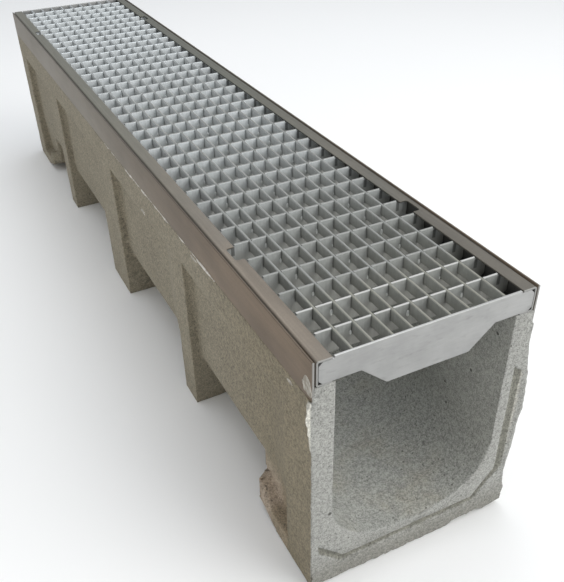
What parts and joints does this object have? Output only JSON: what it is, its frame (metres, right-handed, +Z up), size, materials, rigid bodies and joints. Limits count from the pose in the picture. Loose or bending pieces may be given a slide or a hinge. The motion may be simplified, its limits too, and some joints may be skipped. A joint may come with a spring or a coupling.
{
  "type": "drain channel with steel grate",
  "caption": "Ribbed concrete drain channel with steel edge strips and a press-locked steel mesh grate in a C-rail frame lying on the wall tops.",
  "frame": {"origin": "centre of the base, on the underside of the middle rib", "axes": "+X across the channel, +Y along it away from the near end, +Z up"},
  "size_m": [0.185, 1, 0.236],
  "materials": {
    "concrete": "cast concrete",
    "edge_steel": "dull",
    "frame_steel": "satin",
    "end_plate": "satin",
    "mesh_zinc": "galvanised"
  },
  "bodies": {
    "root": {"channel_body": "concrete", "left_edge_strip": "edge_steel", "right_edge_strip": "edge_steel", "left_edge_anchors": "edge_steel", "right_edge_anchors": "edge_steel", "left_side_rail": "frame_steel", "right_side_rail": "frame_steel", "near_end_plate": "end_plate", "far_end_plate": "end_plate", "bearing_bar_01": "mesh_zinc", "bearing_bar_02": "mesh_zinc", "bearing_bar_03": "mesh_zinc", "bearing_bar_04": "mesh_zinc", "bearing_bar_05": "mesh_zinc", "bearing_bar_06": "mesh_zinc", "bearing_bar_07": "mesh_zinc", "bearing_bar_08": "mesh_zinc", "bearing_bar_09": "mesh_zinc", "bearing_bar_10": "mesh_zinc", "bearing_bar_11": "mesh_zinc", "bearing_bar_12": "mesh_zinc", "bearing_bar_13": "mesh_zinc", "bearing_bar_14": "mesh_zinc", "bearing_bar_15": "mesh_zinc", "bearing_bar_16": "mesh_zinc", "bearing_bar_17": "mesh_zinc", "bearing_bar_18": "mesh_zinc", "bearing_bar_19": "mesh_zinc", "bearing_bar_20": "mesh_zinc", "bearing_bar_21": "mesh_zinc", "bearing_bar_22": "mesh_zinc", "bearing_bar_23": "mesh_zinc", "bearing_bar_24": "mesh_zinc", "bearing_bar_25": "mesh_zinc", "bearing_bar_26": "mesh_zinc", "bearing_bar_27": "mesh_zinc", "bearing_bar_28": "mesh_zinc", "bearing_bar_29": "mesh_zinc", "bearing_bar_30": "mesh_zinc", "bearing_bar_31": "mesh_zinc", "bearing_bar_32": "mesh_zinc", "bearing_bar_33": "mesh_zinc", "bearing_bar_34": "mesh_zinc", "bearing_bar_35": "mesh_zinc", "bearing_bar_36": "mesh_zinc", "bearing_bar_37": "mesh_zinc", "tie_bar_1": "mesh_zinc", "tie_bar_2": "mesh_zinc", "tie_bar_3": "mesh_zinc", "tie_bar_4": "mesh_zinc", "tie_bar_5": "mesh_zinc", "tie_bar_6": "mesh_zinc", "tie_bar_7": "mesh_zinc", "tie_bar_8": "mesh_zinc", "tie_bar_9": "mesh_zinc"}
  },
  "joints": []
}
